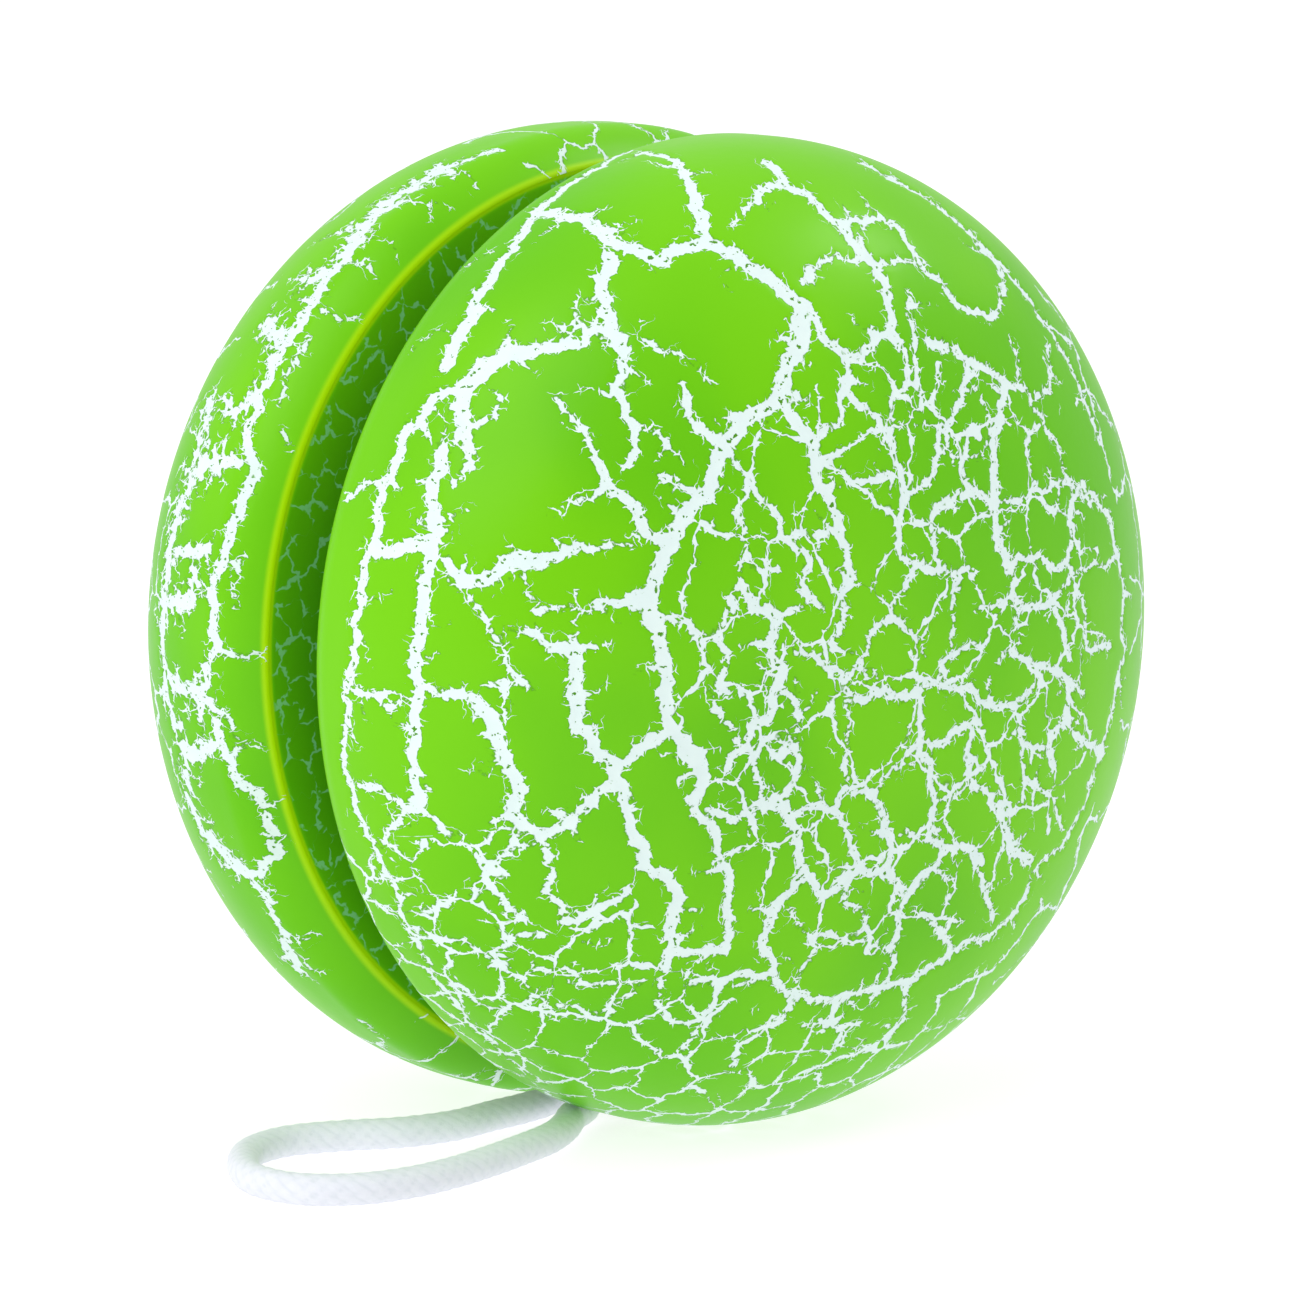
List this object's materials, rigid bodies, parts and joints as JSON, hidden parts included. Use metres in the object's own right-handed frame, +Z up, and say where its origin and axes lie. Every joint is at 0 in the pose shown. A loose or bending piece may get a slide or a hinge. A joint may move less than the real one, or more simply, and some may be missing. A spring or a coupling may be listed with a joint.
{
  "type": "yo-yo",
  "caption": "Small turned wooden yo-yo with crackle-painted domed halves on a dowel axle and a wound braided string ending in a finger loop.",
  "frame": {"origin": "middle of the axle dowel, half way between the two halves", "axes": "+Y along the spin axis towards the rear half, +Z up, and the finger loop lies towards -X"},
  "size_m": [0.0554, 0.04, 0.05],
  "materials": {
    "crackle_paint": "satin two-coat crackle paint, bright green over white",
    "bare_wood": "bare turned beech",
    "braided_cord": "soft white braid"
  },
  "bodies": {
    "string": {"axle_loop": "braided_cord", "string_winding": "braided_cord", "string_lead": "braided_cord", "loop_knot": "braided_cord", "finger_loop": "braided_cord"},
    "spool": {"front_half": "crackle_paint", "rear_half": "crackle_paint", "axle_dowel": "bare_wood"}
  },
  "joints": [
    {"name": "spin", "type": "hinge", "parent": "string", "child": "spool", "pos_m": [0, 0, 0], "axis": [0, 1, 0], "continuous": true}
  ]
}
